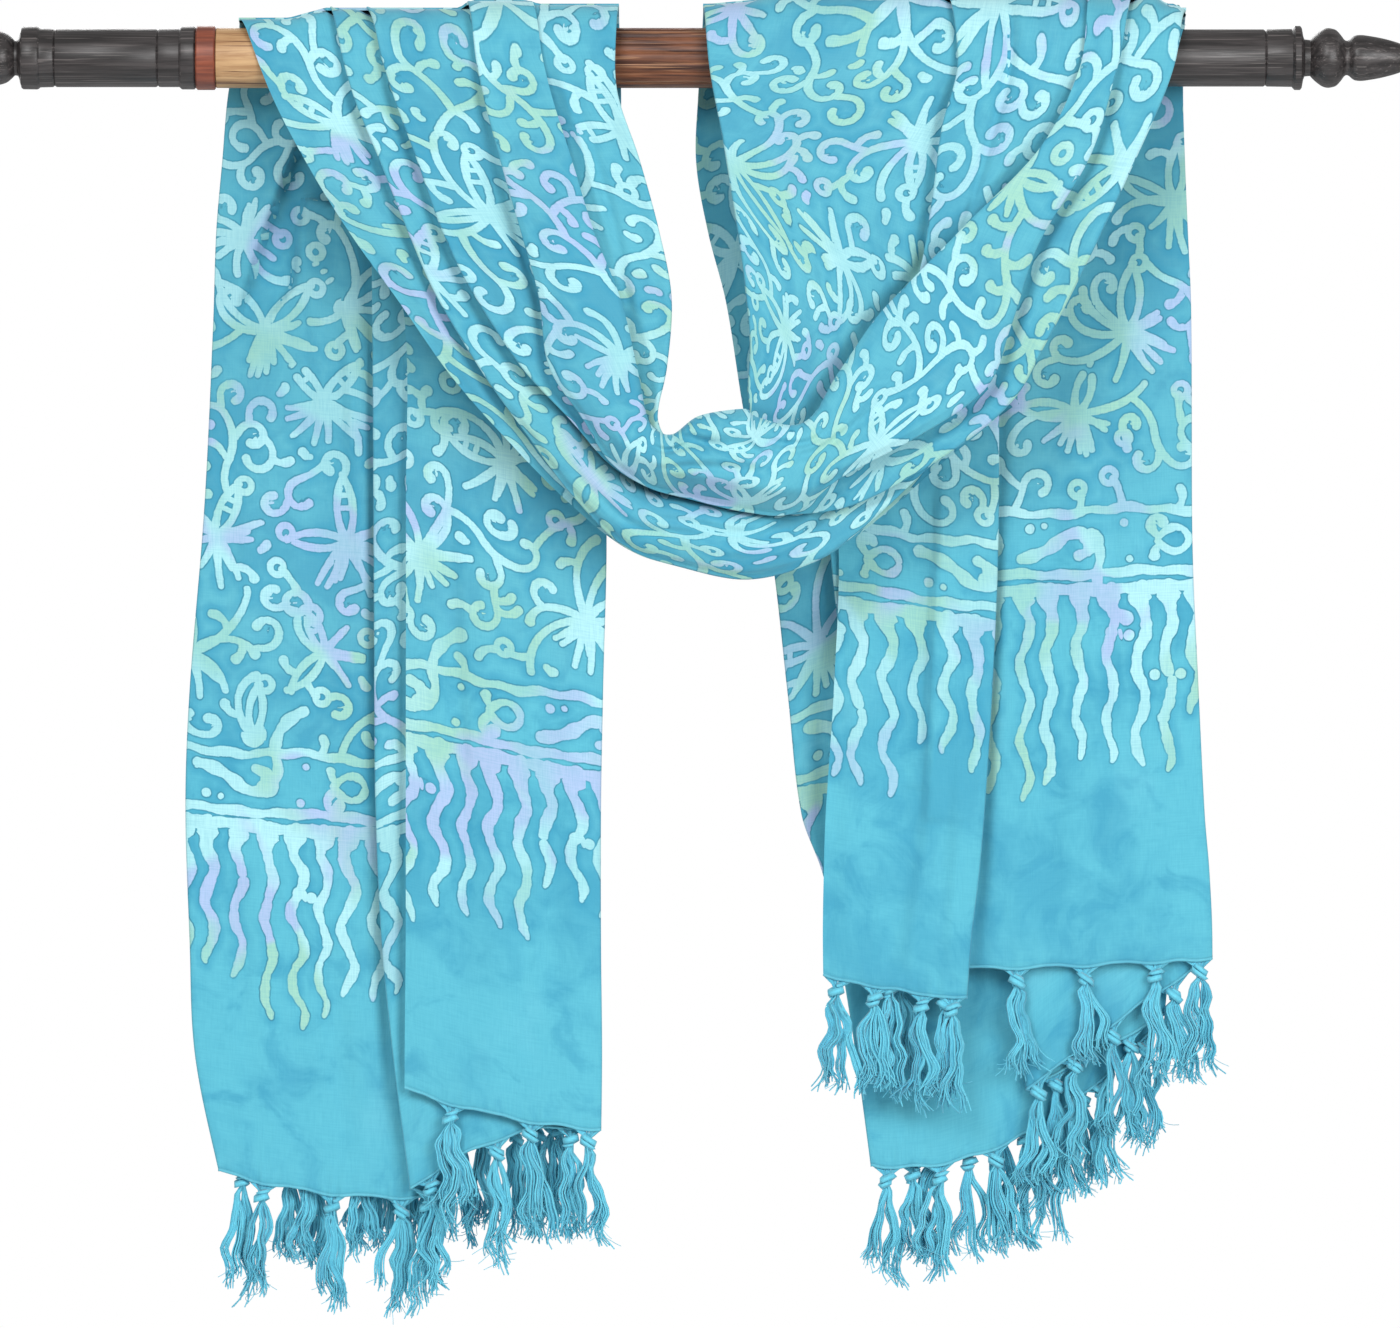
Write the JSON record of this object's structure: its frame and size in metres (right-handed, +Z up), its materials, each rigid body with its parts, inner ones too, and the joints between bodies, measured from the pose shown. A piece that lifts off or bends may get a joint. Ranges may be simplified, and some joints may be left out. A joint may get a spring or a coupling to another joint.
{
  "type": "batik sarong cloth draped over a wooden rod",
  "caption": "Blue batik sarong with knotted fringe, draped over a turned wooden rod: a gathered swag in front and two folded falls hanging behind.",
  "frame": {"origin": "middle of the rod's axis between the two stretches where it is held", "axes": "+X along the rod to the right, +Z up, -Y to the front of the swag"},
  "size_m": [0.8235, 0.1254, 0.7224],
  "materials": {
    "batik_cloth": "soft rayon plain weave with a wax-resist print",
    "fringe_yarn": "loose twisted yarn",
    "dark_wood": "dark stained, satin",
    "red_wood": "oiled, fluted",
    "pale_wood": "oiled",
    "band_wood": "red stained, satin"
  },
  "bodies": {
    "root": {"swag": "batik_cloth", "left_fall": "batik_cloth", "right_fall": "batik_cloth", "fringe_left_1": "fringe_yarn", "fringe_left_2": "fringe_yarn", "fringe_left_3": "fringe_yarn", "fringe_left_4": "fringe_yarn", "fringe_left_5": "fringe_yarn", "fringe_left_6": "fringe_yarn", "fringe_left_7": "fringe_yarn", "fringe_right_1": "fringe_yarn", "fringe_right_2": "fringe_yarn", "fringe_right_3": "fringe_yarn", "fringe_right_4": "fringe_yarn", "fringe_right_5": "fringe_yarn", "fringe_right_6": "fringe_yarn", "fringe_right_7": "fringe_yarn", "fringe_right_8": "fringe_yarn", "rod_shaft": "red_wood", "rod_sleeve": "pale_wood", "rod_band": "band_wood", "rod_handle_left": "dark_wood", "rod_handle_right": "dark_wood"}
  },
  "joints": []
}
